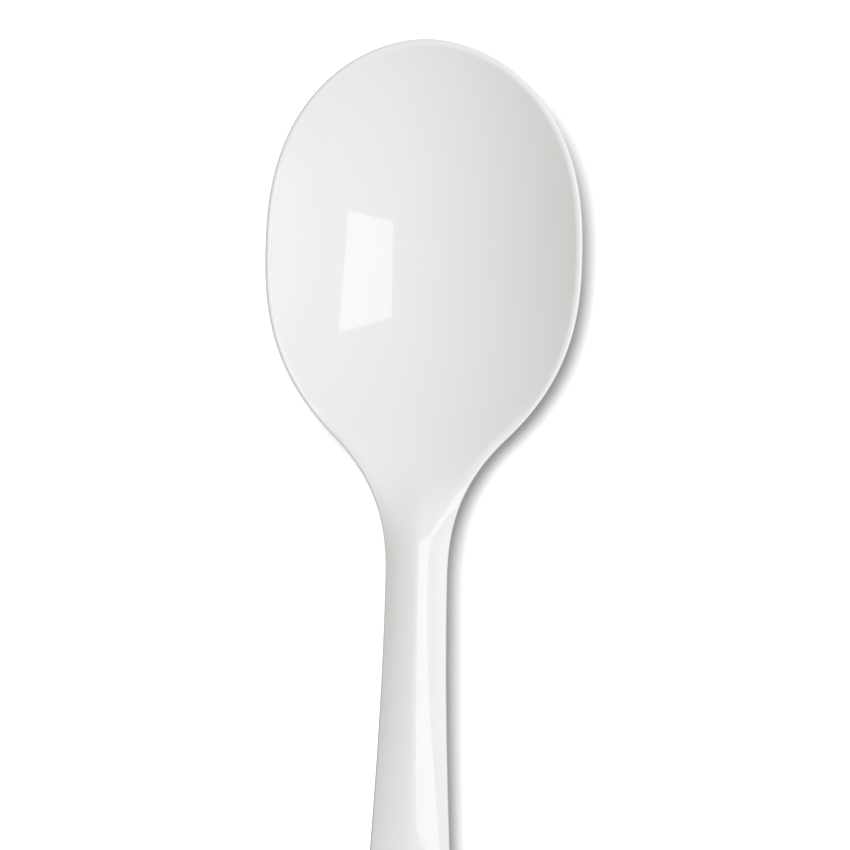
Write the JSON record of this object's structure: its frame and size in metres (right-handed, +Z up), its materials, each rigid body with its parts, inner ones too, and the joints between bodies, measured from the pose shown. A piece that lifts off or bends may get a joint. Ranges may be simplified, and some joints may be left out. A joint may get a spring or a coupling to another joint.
{
  "type": "plastic soup spoon",
  "caption": "White plastic soup spoon with a deep egg-shaped bowl, a narrow neck and an arched handle with a soft ridge, hollow underneath, for scooping and eating soup.",
  "frame": {"origin": "on the table under the middle of the spoon, half way along its length", "axes": "+Y along the spoon towards the tip of its bowl, +X across it, +Z up out of the bowl's hollow"},
  "size_m": [0.0422, 0.146, 0.0118],
  "materials": {
    "white_plastic": "glossy moulded white polystyrene, faintly warm, with soft flow waviness"
  },
  "bodies": {
    "root": {"bowl": "white_plastic", "neck": "white_plastic", "handle": "white_plastic"}
  },
  "joints": []
}
